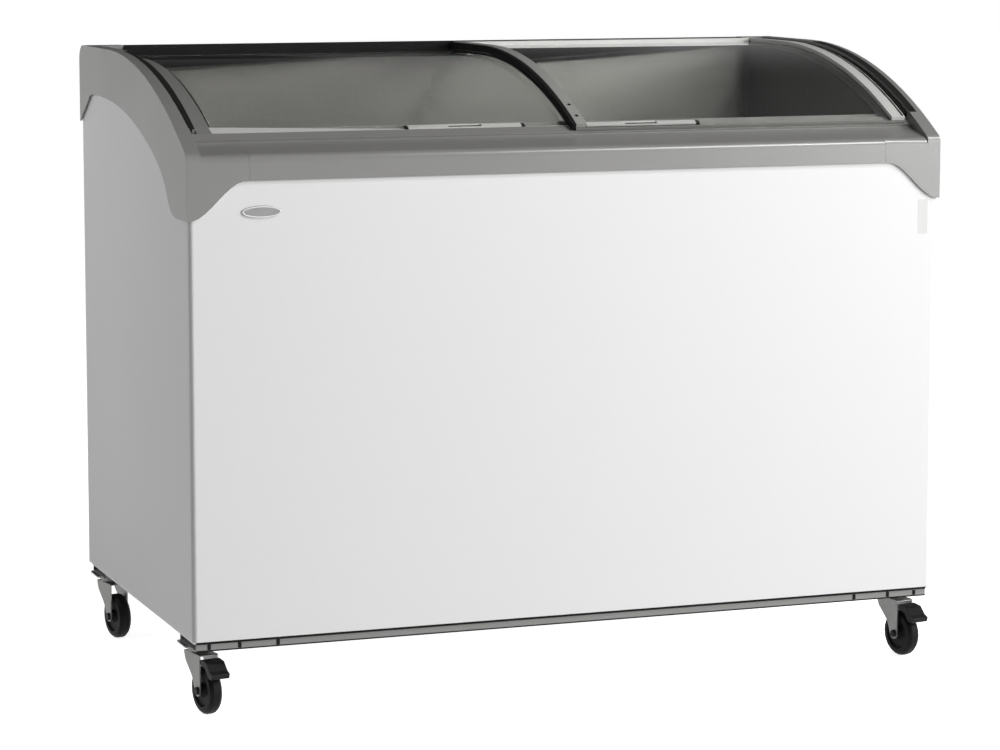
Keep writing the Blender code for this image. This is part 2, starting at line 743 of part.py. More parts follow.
def make_upper_lid():
    """Right lid, in the upper track: profiles bonded on the glass, and a seal at its left edge."""
    left, right = UPPER_LID_LEFT, UPPER_LID_RIGHT
    strip_right, inner_right = left + 0.018, right - 0.024
    raised = curved_strip(RAISED_DEPTH, UPPER_GLASS_DEPTH - GAP, UPPER_LID_ANGLE, UPPER_LID_REAR)
    flat = curved_strip(OUTER_PROFILE_DEPTH, UPPER_GLASS_DEPTH - GAP, UPPER_LID_ANGLE,
                        UPPER_LID_REAR)
    outer = finish(prism("upper_lid_outer_profile", flat, "side", inner_right, right), "light_trim")
    centre = finish(prism("upper_lid_centre_profile", raised, "side", left, strip_right),
                    "light_trim")
    rear_y = UPPER_LID_REAR - UPPER_REAR_PROFILE_WIDTH
    rear = finish(bevel(box("upper_lid_rear_profile",
                            (strip_right + GAP, rear_y, TOP - UPPER_FRAME_BOTTOM),
                            (inner_right - GAP, UPPER_LID_REAR, TOP - RAISED_DEPTH)),
                        0.0015, 2), "light_trim")
    pane = curved_strip(UPPER_GLASS_DEPTH, UPPER_GLASS_DEPTH + GLASS_THICKNESS,
                        UPPER_LID_ANGLE, rear_y - GAP)
    glass = finish(round_shading(prism("upper_lid_glass", pane, "side",
                                       left, right)), "glass")
    blade = curved_strip(RAISED_DEPTH + 0.001, SEAL_BOTTOM_DEPTH, UPPER_LID_ANGLE, UPPER_LID_REAR)
    seal = finish(prism("upper_lid_seal", blade, "side", left - 0.0055, left - GAP), "black_rubber")
    handle = make_handle("upper_lid_handle", 0.038, UPPER_LID_ANGLE, UPPER_GLASS_DEPTH)
    parent_to(new_empty("upper_lid", (0, 0, TOP)), outer, centre, rear, glass, seal, handle)


# ---------------------------------------------------------------- front panel trimmings

def make_badge():
    """A blank oval plate at the upper left of the front."""
    steps = 24
    oval = [(0.0315 * math.cos(math.tau * k / steps), 0.0095 * math.sin(math.tau * k / steps))
            for k in range(steps)]
    outline = [(-0.521 + x, 0.790 + z) for x, z in oval]
    badge = prism("badge_plate", outline, "front", -0.3478, CABINET_FRONT - GAP)
    return finish(round_shading(badge), "zinc")


# ---------------------------------------------------------------- machine bay and rear

def make_grille():
    """Ventilation grille of the machine bay, behind the opening in the rear panel."""
    grille = box("rear_grille", GRILLE_LOW, GRILLE_HIGH)
    slots = box("grille_slots", (0.375, 0.32, 0.205), (0.605, 0.35, 0.211), CUTTERS)
    repeat = slots.modifiers.new("rows", "ARRAY")
    repeat.count = 12
    repeat.use_relative_offset = False
    repeat.use_constant_offset = True
    repeat.constant_offset_displace = (0.0, 0.0, 0.014)
    repeat.use_merge_vertices = False
    cut(grille, slots)
    for name, x, radius in (("knob_hole", KNOB_X, 0.0045), ("gland_hole", GLAND_X, 0.0065)):
        cut(grille, cylinder(name, radius, (x, 0.32, CONTROLS_Z), (x, 0.35, CONTROLS_Z),
                             16, CUTTERS))
    return finish(grille, "black_plastic")


def stand_on_rear(obj, x):
    """Turn a piece made along Z so that it points out of the rear, just clear of the grille."""
    obj.rotation_euler = (math.radians(-90), 0.0, 0.0)
    obj.location = (x, GRILLE_HIGH[1] + GAP, CONTROLS_Z)
    return obj


def make_thermostat():
    """Thermostat behind the grille, and the knob on its shaft outside."""
    body = box("thermostat_body", (KNOB_X - 0.020, 0.300, CONTROLS_Z - 0.025),
               (KNOB_X + 0.020, GRILLE_LOW[1] - GAP, CONTROLS_Z + 0.025))
    cut(body, cylinder("thermostat_bore", 0.0040, (KNOB_X, 0.310, CONTROLS_Z),
                       (KNOB_X, 0.34, CONTROLS_Z), 16, CUTTERS))
    finish(body, "black_plastic")
    knob = turned("thermostat_knob", [
        (0.0, 0.0125), (0.0125, 0.0125), (0.0140, 0.0110), (0.0150, 0.0030), (0.0150, 0.0),
        (0.0035, 0.0), (0.0035, -0.0180), (0.0, -0.0180),
    ], 24)
    pointer = box("knob_pointer", (-0.0016, 0.002, 0.0100), (0.0016, 0.0142, 0.0130), CUTTERS)
    join_or_cut(knob, stand_on_rear(pointer, KNOB_X), "UNION")
    return finish(stand_on_rear(knob, KNOB_X), "black_plastic")


def make_cord_gland():
    """Bush where the supply cord enters. The cord itself isn't part of this object."""
    ring = turned("cord_gland", [
        (0.0095, 0.0), (0.0095, 0.0060), (0.0070, 0.0110), (0.0040, 0.0110),
        (0.0040, -0.0080), (0.0060, -0.0080), (0.0060, 0.0),
    ][::-1], 20, closed=True)
    return finish(stand_on_rear(ring, GLAND_X), "black_plastic")


def make_compressor():
    """Sealed compressor, its plate welded on, on four rubber feet, and its relay box."""
    corners = ((-0.08, -0.05), (0.08, -0.05), (-0.08, 0.05), (0.08, 0.05))
    for number, (dx, dy) in enumerate(corners, 1):
        x, y = COMPRESSOR_PLACE[0] + dx, COMPRESSOR_PLACE[1] + dy
        foot = cylinder(f"compressor_foot_{number}", 0.0125, (x, y, CABINET_BOTTOM),
                        (x, y, COMPRESSOR_BOTTOM - 0.002 - GAP), 16)
        finish(foot, "black_rubber")
    pot = turned("compressor", [
        (0.0, 0.165), (0.030, 0.163), (0.052, 0.153), (0.064, 0.135), (0.068, 0.110),
        (0.068, 0.076), (0.072, 0.074), (0.072, 0.068), (0.068, 0.066), (0.068, 0.040),
        (0.060, 0.016), (0.040, 0.003), (0.0, 0.0),
    ], 20)
    pot.location = (*COMPRESSOR_PLACE, COMPRESSOR_BOTTOM)
    join_or_cut(pot, box("compressor_plate", (0.390, 0.010, COMPRESSOR_BOTTOM - 0.002),
                         (0.590, 0.150, COMPRESSOR_BOTTOM + 0.001), CUTTERS), "UNION")
    finish(pot, "black_plastic")
    relay = box("relay_box", (0.5625, 0.045, 0.190), (0.594, 0.115, 0.255))
    return finish(bevel(relay, 0.003, 2), "black_plastic")


def make_drain():
    """Defrost drain: a plug in the tub floor and a pipe down through the foam."""
    plug = turned("drain_plug", [
        (0.0, 0.0045), (0.0150, 0.0045), (0.0170, 0.0030), (0.0170, 0.0),
        (0.0095, 0.0), (0.0085, -0.0080), (0.0, -0.0080),
    ], 20)
    plug.location = (*DRAIN_PLACE, LINER_BOTTOM + LINER_WALL + GAP)
    finish(plug, "black_plastic")
    pipe = turned("drain_pipe", [
        (0.0100, 0.0), (0.0100, 0.0780), (0.0075, 0.0780), (0.0075, 0.0),
    ][::-1], 16, closed=True)
    pipe.location = (*DRAIN_PLACE, 0.1130)
    return finish(pipe, "light_trim")


# ---------------------------------------------------------------- base and casters

def make_base_rail(name, side):
    """A shallow steel channel across the cabinet, which carries two casters."""
    outer, inner, sheet = side * RAIL_OUTER_Y, side * RAIL_INNER_Y, side * 0.002
    low, high = RAIL_BOTTOM, RAIL_BOTTOM + RAIL_HEIGHT
    outline = [
        (outer, low), (inner, low), (inner, high), (inner + sheet, high),
        (inner + sheet, low + 0.002), (outer - sheet, low + 0.002), (outer - sheet, high),
        (outer, high),
    ]
    rail = prism(name, outline, "side", -RAIL_HALF_LENGTH, RAIL_HALF_LENGTH)
    for number, x in enumerate((-0.609, -0.560, -0.498, 0.498, 0.560, 0.609)):
        low_y, high_y = sorted((side * (RAIL_OUTER_Y + 0.01), side * (RAIL_OUTER_Y - 0.01)))
        cut(rail, box(f"{name}_slot_{number}", (x - 0.002, low_y, low + 0.0022),
                      (x + 0.002, high_y, high + 0.01), CUTTERS))
    return finish(rail, "grey_trim")


def caster_piece(name, mesh, empty, place, finish_name):
    """A piece of one caster, with its own copy of a mesh made for all four."""
    obj = link_mesh(name, mesh.copy())
    obj.parent = empty
    obj.location = place
    return finish(obj, finish_name)


def evaluated_mesh(obj):
    """The object's mesh with its modifiers applied, and the object removed."""
    bpy.context.view_layer.update()
    graph = bpy.context.evaluated_depsgraph_get()
    mesh = bpy.data.meshes.new_from_object(obj.evaluated_get(graph))
    mesh.transform(obj.matrix_basis)
    bpy.data.objects.remove(obj, do_unlink=True)
    return mesh


def caster_plate_mesh():
    """Mounting plate with the swivel's ball race under it."""
    plate = box("plate", (-0.029, -0.029, 0.1063), (0.029, 0.029, RAIL_BOTTOM - GAP))
    bevel_chosen(plate, 0.006, 3, lambda a, b: abs(a.z - b.z) > 0.001)
    race = turned("race", [
        (0.0, 0.1070), (0.0195, 0.1070), (0.0195, 0.1010), (0.0165, 0.0985), (0.0165, 0.0955),
        (0.0, 0.0955),
    ], 18, collection=CUTTERS)
    join_or_cut(plate, race, "UNION")
    return evaluated_mesh(plate)


def caster_fork_mesh():
    """Bent sheet fork: a top plate and two legs that lead forward to the axle."""
    outside = FORK_LEG_INSIDE + FORK_SHEET
    leg = rounded([
        (-0.022, FORK_TOP, 0.002), (0.036, FORK_TOP, 0.002),
        (0.0365, 0.0290, 0.0080), (0.0200, 0.0290, 0.0080), (0.0100, 0.0560, 0.030),
        (-0.0160, 0.0800, 0.010),
    ], 3)
    fork = prism("fork", leg, "front", -outside, outside)
    cut(fork, box("fork_inside", (-0.05, -FORK_LEG_INSIDE, 0.0),
                  (0.05, FORK_LEG_INSIDE, FORK_TOP - FORK_SHEET), CUTTERS))
    cut(fork, cylinder("fork_bore", 0.0045, (CASTER_TRAIL, -0.03, WHEEL_RADIUS),
                       (CASTER_TRAIL, 0.03, WHEEL_RADIUS), 10, CUTTERS))
    return evaluated_mesh(fork)


def caster_wheel_mesh():
    """Wheel about its own axle: a tread with rounded shoulders, a web and a hub with a bore."""
    r, half = WHEEL_RADIUS, WHEEL_HALF_WIDTH
    right = [
        (r, half - 0.0055), (r - 0.0040, half - 0.0006), (r - 0.0120, half),
        (r - 0.0140, half - 0.0035), (0.0115, half - 0.0035), (0.0095, half + 0.0010),
        (0.0046, half + 0.0010),
    ]
    left = [(radius, -width) for radius, width in right[::-1]]
    wheel = turned("wheel", (right + left)[::-1], 24, closed=True)
    wheel.rotation_euler = (math.radians(90), 0.0, 0.0)
    return evaluated_mesh(wheel)


def caster_axle_mesh():
    """Axle bolt with a head and a nut outside the legs, about its own axis."""
    outside = FORK_LEG_INSIDE + FORK_SHEET + GAP
    axle = turned("axle", [
        (0.0, outside + 0.0035), (0.0055, outside + 0.0035), (0.0065, outside + 0.0020),
        (0.0065, outside), (0.0041, outside), (0.0041, -outside), (0.0065, -outside),
        (0.0065, -outside - 0.0035), (0.0, -outside - 0.0035),
    ], 12)
    axle.rotation_euler = (math.radians(90), 0.0, 0.0)
    return evaluated_mesh(axle)


def caster_pedal_mesh():
    """Brake pedal about its pivot: a stepped tread plate ahead of the fork."""
    u, z = PEDAL_PIVOT
    outline = rounded([
        (0.0385, 0.0905, 0.003), (0.0590, 0.0880, 0.004), (0.0715, 0.0755, 0.003),
        (0.0800, 0.0720, 0.002), (0.0770, 0.0640, 0.002), (0.0650, 0.0650, 0.003),
        (0.0540, 0.0785, 0.004), (0.0385, 0.0810, 0.002),
    ], 3)
    pedal = prism("pedal", [(a - u, b - z) for a, b in outline], "front", -0.0155, 0.0155)
    return evaluated_mesh(pedal)


def make_casters():
    """Four swivel casters, all trailing the same way. The front two have brake pedals."""
    meshes = {
        "plate": caster_plate_mesh(),
        "fork": caster_fork_mesh(),
        "wheel": caster_wheel_mesh(),
        "axle": caster_axle_mesh(),
        "pedal": caster_pedal_mesh(),
    }
    axle_place = (CASTER_TRAIL, 0.0, WHEEL_RADIUS)
    places = {
        "front_left": (-CASTER_X, CASTER_FRONT_Y),
        "front_right": (CASTER_X, CASTER_FRONT_Y),
        "rear_left": (-CASTER_X, CASTER_REAR_Y),
        "rear_right": (CASTER_X, CASTER_REAR_Y),
    }
    for corner, (x, y) in places.items():
        mount = new_empty(f"caster_mount_{corner}", (x, y, 0.0))
        swivel = new_empty(f"caster_swivel_{corner}", (x, y, 0.0), CASTER_HEADING)
        caster_piece(f"caster_plate_{corner}", meshes["plate"], mount, (0, 0, 0), "zinc")
        caster_piece(f"caster_fork_{corner}", meshes["fork"], swivel, (0, 0, 0), "zinc")
        caster_piece(f"caster_wheel_{corner}", meshes["wheel"], swivel, axle_place, "black_rubber")
        caster_piece(f"caster_axle_{corner}", meshes["axle"], swivel, axle_place, "zinc")
        if corner.startswith("front"):
            u, z = PEDAL_PIVOT
            caster_piece(f"caster_pedal_{corner}", meshes["pedal"], swivel, (u, 0, z),
                         "black_plastic")


# ---------------------------------------------------------------- the whole freezer

clear_scene()
PARTS = new_collection("chest_freezer")
CUTTERS = new_collection("cutters")

make_outer_shell()
make_rear_panel()
make_bottom_panel()
make_inner_liner()
make_foam()
make_bay_sheet()
make_evaporator()
make_condenser()
left_cap = make_end_cap("end_cap_left", -1)
make_mirrored("end_cap_right", left_cap, "grey_trim")
make_front_rail()
make_rear_rail()
make_slot_gasket("slot_gasket_left", -1)
make_slot_gasket("slot_gasket_right", 1)
make_lower_lid()
make_upper_lid()
make_badge()
make_grille()
make_thermostat()
make_cord_gland()
make_compressor()
make_drain()
make_base_rail("base_rail_front", -1)
make_base_rail("base_rail_rear", 1)
make_casters()
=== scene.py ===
"""Chest freezer with two curved sliding glass lids, on four swivel casters."""

import math

import bmesh
import bpy
from mathutils import Matrix, Vector


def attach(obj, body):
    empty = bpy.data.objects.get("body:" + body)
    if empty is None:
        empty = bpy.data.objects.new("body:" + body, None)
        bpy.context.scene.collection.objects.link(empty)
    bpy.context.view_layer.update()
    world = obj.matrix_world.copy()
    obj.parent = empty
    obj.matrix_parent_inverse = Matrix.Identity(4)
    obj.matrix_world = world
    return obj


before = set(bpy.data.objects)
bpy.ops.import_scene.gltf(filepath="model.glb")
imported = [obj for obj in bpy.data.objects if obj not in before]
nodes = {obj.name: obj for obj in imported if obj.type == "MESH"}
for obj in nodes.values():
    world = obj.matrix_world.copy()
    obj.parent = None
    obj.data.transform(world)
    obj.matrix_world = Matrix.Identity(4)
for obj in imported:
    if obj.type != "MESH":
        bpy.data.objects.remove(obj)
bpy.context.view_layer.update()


# ---------------------------------------------------------------- camera
# A long lens from the front left, a little above the lids. The small shift lowers the
# freezer's place in the frame and keeps its upright edges nearly parallel.
LENS = 119.28
VIEW_SHIFT = -0.05
VIEW_PLACE = Vector((-1.9296, -5.2111, 1.2489))
VIEW_YAW = 0.3540
VIEW_PITCH = 0.1247
VIEW_ROLL = 0.0010

camera_data = bpy.data.cameras.new("camera")
camera_data.lens = LENS
camera_data.sensor_width = 36.0
camera_data.shift_y = VIEW_SHIFT
camera_data.clip_end = 900.0
camera = bpy.data.objects.new("camera", camera_data)
bpy.context.scene.collection.objects.link(camera)
forward = Vector((math.sin(VIEW_YAW) * math.cos(VIEW_PITCH),
                  math.cos(VIEW_YAW) * math.cos(VIEW_PITCH),
                  -math.sin(VIEW_PITCH)))
turn = forward.to_track_quat("-Z", "Y").to_matrix() @ Matrix.Rotation(VIEW_ROLL, 3, "Z")
camera.matrix_world = Matrix.Translation(VIEW_PLACE) @ turn.to_4x4()
bpy.context.scene.camera = camera
bpy.context.scene.view_settings.view_transform = "Standard"


# ---------------------------------------------------------------- floor and light
# A pale seamless studio floor. Two softboxes stand at the front right, one hangs over it
# and a weak one stands at the left, so that the trim darkens towards the left side.
FLOOR_SIZE = 400.0
PAPER_GLOW = 0.86
PAPER_BOUNCE = 0.42

floor_mesh = bpy.data.meshes.new("floor")
half = FLOOR_SIZE / 2
floor_mesh.from_pydata([(-half, -half, 0), (half, -half, 0), (half, half, 0), (-half, half, 0)],
                       [], [(0, 1, 2, 3)])
floor = bpy.data.objects.new("floor", floor_mesh)
bpy.context.scene.collection.objects.link(floor)


def put(tree, kind, **settings):
    """Adds a node. Settings that name one of its sockets fill it, the others are its own."""
    node = tree.nodes.new(kind)
    for name, value in settings.items():
        socket = name.replace("_", " ")
        if socket in node.inputs:
            node.inputs[socket].default_value = value
        else:
            setattr(node, name, value)
    return node


def wire(tree, source, target):
    """Joins an output to an input; a node given alone stands for its first output."""
    output = source if isinstance(source, bpy.types.NodeSocket) else source.outputs[0]
    tree.links.new(output, target)


def new_material(name):
    """An empty node material with its output node."""
    material = bpy.data.materials.new(name)
    material.use_nodes = True
    tree = material.node_tree
    tree.nodes.clear()
    return material, tree, put(tree, "ShaderNodeOutputMaterial")


# The paper is lit from within a little, so that it reads as an even pale ground, also where
# the freezer mirrors it. The soft light that it throws back is that of a dimmer floor.
floor_finish, tree, out = new_material("floor_paper")
paper = put(tree, "ShaderNodeBsdfPrincipled", Roughness=0.85, Emission_Color=(1, 1, 1, 1),
            Emission_Strength=PAPER_GLOW)
bounce = put(tree, "ShaderNodeBsdfDiffuse", Color=(*[PAPER_BOUNCE] * 3, 1))
place = put(tree, "ShaderNodeTexCoord")
fibres = put(tree, "ShaderNodeTexNoise", Scale=3.0, Detail=4.0)
shade = put(tree, "ShaderNodeMix", data_type="RGBA")
shade.inputs["A"].default_value = (0.84, 0.84, 0.84, 1)
shade.inputs["B"].default_value = (0.88, 0.88, 0.88, 1)
seen = put(tree, "ShaderNodeLightPath")
pick = put(tree, "ShaderNodeMixShader")
wire(tree, place.outputs["Object"], fibres.inputs["Vector"])
wire(tree, fibres, shade.inputs["Factor"])
wire(tree, shade.outputs["Result"], paper.inputs["Base Color"])
direct = put(tree, "ShaderNodeMath", operation="MAXIMUM")
wire(tree, seen.outputs["Is Camera Ray"], direct.inputs[0])
wire(tree, seen.outputs["Is Glossy Ray"], direct.inputs[1])
wire(tree, direct, pick.inputs[0])
wire(tree, bounce, pick.inputs[1])
wire(tree, paper, pick.inputs[2])
wire(tree, pick, out.inputs["Surface"])
floor_mesh.materials.append(floor_finish)

# The room: bright low down at the front right, dim at the left, behind and overhead.
ROOM_TOP = 0.06
ROOM_RIGHT = 0.85
ROOM_DIM = 0.05

world = bpy.data.worlds.new("studio_room")
bpy.context.scene.world = world
world.use_nodes = True
tree = world.node_tree
tree.nodes.clear()
out = put(tree, "ShaderNodeOutputWorld")
place = put(tree, "ShaderNodeTexCoord")
parts = put(tree, "ShaderNodeSeparateXYZ")
wire(tree, place.outputs["Generated"], parts.inputs["Vector"])
side = put(tree, "ShaderNodeMapRange", interpolation_type="SMOOTHSTEP")
side.inputs["From Min"].default_value = -0.45
side.inputs["From Max"].default_value = 0.55
side.inputs["To Min"].default_value = ROOM_DIM
side.inputs["To Max"].default_value = ROOM_RIGHT
lean = put(tree, "ShaderNodeMath", operation="MULTIPLY_ADD")
lean.inputs[1].default_value = -0.75
wire(tree, parts.outputs["Y"], lean.inputs[0])
wire(tree, parts.outputs["X"], lean.inputs[2])
wire(tree, lean, side.inputs["Value"])
high = put(tree, "ShaderNodeMapRange", interpolation_type="SMOOTHSTEP")
high.inputs["From Min"].default_value = 0.45
high.inputs["From Max"].default_value = 1.0
high.inputs["To Max"].default_value = ROOM_TOP
wire(tree, parts.outputs["Z"], high.inputs["Value"])
ceiling = put(tree, "ShaderNodeMapRange", interpolation_type="SMOOTHSTEP")
ceiling.inputs["From Min"].default_value = 0.12
ceiling.inputs["From Max"].default_value = 0.60
ceiling.inputs["To Min"].default_value = 1.0
ceiling.inputs["To Max"].default_value = 0.20
walls = put(tree, "ShaderNodeMath", operation="MULTIPLY")
wire(tree, parts.outputs["Z"], ceiling.inputs["Value"])
wire(tree, side, walls.inputs[0])
wire(tree, ceiling, walls.inputs[1])
total = put(tree, "ShaderNodeMath", operation="ADD")
wire(tree, walls, total.inputs[0])
wire(tree, high, total.inputs[1])
room = put(tree, "ShaderNodeBackground", Color=(1, 1, 1, 1))
wire(tree, total, room.inputs["Strength"])
backdrop = put(tree, "ShaderNodeBackground", Color=(0.97, 0.97, 0.97, 1), Strength=1.0)
seen = put(tree, "ShaderNodeLightPath")
pick = put(tree, "ShaderNodeMixShader")
wire(tree, seen.outputs["Is Camera Ray"], pick.inputs[0])
wire(tree, room, pick.inputs[1])
wire(tree, backdrop, pick.inputs[2])
wire(tree, pick, out.inputs["Surface"])


def softbox(name, place, aim, size, power):
    """A square area light that faces the point it is aimed at."""
    light = bpy.data.lights.new(name, "AREA")
    light.shape = "SQUARE"
    light.size = size
    light.energy = power
    lamp = bpy.data.objects.new(name, light)
    lamp.location = place
    lamp.rotation_euler = (Vector(aim) - Vector(place)).to_track_quat("-Z", "Y").to_euler()
    bpy.context.scene.collection.objects.link(lamp)
    return lamp


softbox("light_front_right", (4.6, -4.6, 2.4), (0.2, 0.0, 0.5), 1.7, 222.0)
softbox("light_low_right", (3.1, -4.3, 0.7), (0.6, -0.3, 0.8), 1.0, 26.0)
softbox("light_over_right", (2.1, -2.4, 3.9), (0.5, -0.3, 0.9), 0.7, 70.0)
near_left = softbox("light_left", (-2.2, 0.6, 1.5), (-0.64, 0.1, 0.75), 0.8, 9.0)
near_left.visible_camera = False


# ---------------------------------------------------------------- cabinet skin
# Bent sheet steel under white powder coat: a very fine orange-peel surface, slightly uneven
# gloss from wiping, and a trace of wear where hands and trolleys rub the folded corners.

def start_group(name, inputs, outputs):
    """An empty shader group with float inputs that have defaults, and float outputs."""
    tree = bpy.data.node_groups.new(name, "ShaderNodeTree")
    for label, default in inputs.items():
        socket = tree.interface.new_socket(label, in_out="INPUT", socket_type="NodeSocketFloat")
        socket.default_value = default
    for label in outputs:
        tree.interface.new_socket(label, in_out="OUTPUT", socket_type="NodeSocketFloat")
    return tree, tree.nodes.new("NodeGroupInput"), tree.nodes.new("NodeGroupOutput")


# Grain: a fine relief and a slow drift in tone, both in true size, per metre.
grain, given, result = start_group("surface_grain", {"Fine": 900.0, "Broad": 6.0},
                                   ("Relief", "Tone"))
place = put(grain, "ShaderNodeTexCoord")
fine = put(grain, "ShaderNodeTexNoise", Detail=2.0, Roughness=0.55)
broad = put(grain, "ShaderNodeTexNoise", Detail=4.0, Roughness=0.6)
wire(grain, place.outputs["Object"], fine.inputs["Vector"])
wire(grain, place.outputs["Object"], broad.inputs["Vector"])
wire(grain, given.outputs["Fine"], fine.inputs["Scale"])
wire(grain, given.outputs["Broad"], broad.inputs["Scale"])
wire(grain, fine, result.inputs["Relief"])
wire(grain, broad, result.inputs["Tone"])

# Wear: where an edge is sharp, broken up so that it never runs as an even line.
wear, given, result = start_group("edge_wear", {"Reach": 0.0012, "Patches": 40.0}, ("Edge",))
rounded = put(wear, "ShaderNodeBevel", samples=3)
surface = put(wear, "ShaderNodeNewGeometry")
closeness = put(wear, "ShaderNodeVectorMath", operation="DOT_PRODUCT")
edge = put(wear, "ShaderNodeMapRange")
edge.inputs["From Min"].default_value = 0.995
edge.inputs["From Max"].default_value = 0.90
place = put(wear, "ShaderNodeTexCoord")
patches = put(wear, "ShaderNodeTexNoise", Detail=3.0)
broken = put(wear, "ShaderNodeMapRange")
broken.inputs["From Min"].default_value = 0.42
broken.inputs["From Max"].default_value = 0.62
both = put(wear, "ShaderNodeMath", operation="MULTIPLY")
wire(wear, given.outputs["Reach"], rounded.inputs["Radius"])
wire(wear, given.outputs["Patches"], patches.inputs["Scale"])
wire(wear, place.outputs["Object"], patches.inputs["Vector"])
wire(wear, rounded, closeness.inputs[0])
wire(wear, surface.outputs["Normal"], closeness.inputs[1])
wire(wear, closeness.outputs["Value"], edge.inputs["Value"])
wire(wear, patches, broken.inputs["Value"])
wire(wear, edge, both.inputs[0])
wire(wear, broken, both.inputs[1])
wire(wear, both, result.inputs["Edge"])

# Dust: a thin film on whatever faces up, thicker in slow drifts.
dust, given, result = start_group("settled_dust", {"Drifts": 9.0}, ("Dust",))
surface = put(dust, "ShaderNodeNewGeometry")
upward = put(dust, "ShaderNodeSeparateXYZ")
level = put(dust, "ShaderNodeMapRange")
level.inputs["From Min"].default_value = 0.2
place = put(dust, "ShaderNodeTexCoord")
drifts = put(dust, "ShaderNodeTexNoise", Detail=5.0, Roughness=0.65)
film = put(dust, "ShaderNodeMath", operation="MULTIPLY")
wire(dust, surface.outputs["Normal"], upward.inputs["Vector"])
wire(dust, upward.outputs["Z"], level.inputs["Value"])
wire(dust, given.outputs["Drifts"], drifts.inputs["Scale"])
wire(dust, place.outputs["Object"], drifts.inputs["Vector"])
wire(dust, level, film.inputs[0])
wire(dust, drifts, film.inputs[1])
wire(dust, film, result.inputs["Dust"])


def tint(colour, factor):
    """The colour made lighter or darker, as a node colour."""
    return (*[min(1.0, c * factor) for c in colour[:3]], 1.0)


def make_finish(name, colour, roughness, metallic=0.0, fine=900.0, relief=0.00002,
                broad=6.0, drift=0.06, worn=(0.6, 0.6, 0.58), wear_amount=0.35,
                dust_amount=0.10, shine=0.5):
    """A solid finish with fine relief, a drift in tone and gloss, worn edges and settled dust."""
    material, tree, out = new_material(name)
    shader = put(tree, "ShaderNodeBsdfPrincipled", Metallic=metallic, Specular_IOR_Level=shine)
    skin = put(tree, "ShaderNodeGroup", node_tree=grain, Fine=fine, Broad=broad)
    rubbed = put(tree, "ShaderNodeGroup", node_tree=wear)
    settled = put(tree, "ShaderNodeGroup", node_tree=dust)
    tone = put(tree, "ShaderNodeMix", data_type="RGBA")
    tone.inputs["A"].default_value = tint(colour, 1.0 - drift)
    tone.inputs["B"].default_value = tint(colour, 1.0 + drift)
    wire(tree, skin.outputs["Tone"], tone.inputs["Factor"])
    bare = put(tree, "ShaderNodeMix", data_type="RGBA")
    bare.inputs["B"].default_value = (*worn, 1.0)
    share = put(tree, "ShaderNodeMath", operation="MULTIPLY")
    share.inputs[1].default_value = wear_amount
    wire(tree, rubbed.outputs["Edge"], share.inputs[0])
    wire(tree, share, bare.inputs["Factor"])
    wire(tree, tone.outputs["Result"], bare.inputs["A"])
    dusty = put(tree, "ShaderNodeMix", data_type="RGBA")
    dusty.inputs["B"].default_value = (0.55, 0.54, 0.51, 1.0)
    film = put(tree, "ShaderNodeMath", operation="MULTIPLY")
    film.inputs[1].default_value = dust_amount
    wire(tree, settled.outputs["Dust"], film.inputs[0])
    wire(tree, film, dusty.inputs["Factor"])
    wire(tree, bare.outputs["Result"], dusty.inputs["A"])
    wire(tree, dusty.outputs["Result"], shader.inputs["Base Color"])
    gloss = put(tree, "ShaderNodeMapRange")
    gloss.inputs["To Min"].default_value = roughness - 0.05
    gloss.inputs["To Max"].default_value = roughness + 0.06
    wire(tree, skin.outputs["Tone"], gloss.inputs["Value"])
    wire(tree, gloss, shader.inputs["Roughness"])
    bump = put(tree, "ShaderNodeBump", Distance=relief)
    wire(tree, skin.outputs["Relief"], bump.inputs["Height"])
    wire(tree, bump, shader.inputs["Normal"])
    wire(tree, shader, out.inputs["Surface"])
    return material


# Shading of round faces: facets that meet at less than this angle look like one face.
smooth_faces = bpy.data.node_groups.new("smooth_shallow_facets", "GeometryNodeTree")
smooth_faces.interface.new_socket("Mesh", in_out="INPUT", socket_type="NodeSocketGeometry")
smooth_faces.interface.new_socket("Mesh", in_out="OUTPUT", socket_type="NodeSocketGeometry")
SMOOTH_BELOW = math.radians(34)
given = smooth_faces.nodes.new("NodeGroupInput")
result = smooth_faces.nodes.new("NodeGroupOutput")
all_faces = put(smooth_faces, "GeometryNodeSetShadeSmooth", domain="FACE", Shade_Smooth=True)
angle = put(smooth_faces, "GeometryNodeInputMeshEdgeAngle")
steep = put(smooth_faces, "FunctionNodeCompare", data_type="FLOAT", operation="GREATER_THAN")
steep.inputs[1].default_value = SMOOTH_BELOW
some_edges = put(smooth_faces, "GeometryNodeSetShadeSmooth", domain="EDGE", Shade_Smooth=False)
wire(smooth_faces, given, all_faces.inputs["Geometry"])
wire(smooth_faces, all_faces, some_edges.inputs["Geometry"])
wire(smooth_faces, angle, steep.inputs[0])
wire(smooth_faces, steep, some_edges.inputs["Selection"])
wire(smooth_faces, some_edges, result.inputs["Mesh"])


def dress(material, slot_name, *names, softened=0.0004):
    """Gives CAD pieces their finish, smooth round faces, and edges eased by a small radius."""
    for name in names:
        piece = nodes[name]
        piece.data.materials.clear()
        piece.data.materials.append(material)
        for face in piece.data.polygons:
            face.material_index = 0
        weld = piece.modifiers.new("weld", "WELD")
        weld.merge_threshold = 0.00002
        shading = piece.modifiers.new("shading", "NODES")
        shading.node_group = smooth_faces
        if softened:
            ease = piece.modifiers.new("eased_edges", "BEVEL")
            ease.limit_method = "ANGLE"
            ease.angle_limit = SMOOTH_BELOW
            ease.width = softened
            ease.segments = 2
            ease.harden_normals = True
        flat = piece.modifiers.new("flat_faces_stay_flat", "WEIGHTED_NORMAL")
        flat.keep_sharp = True


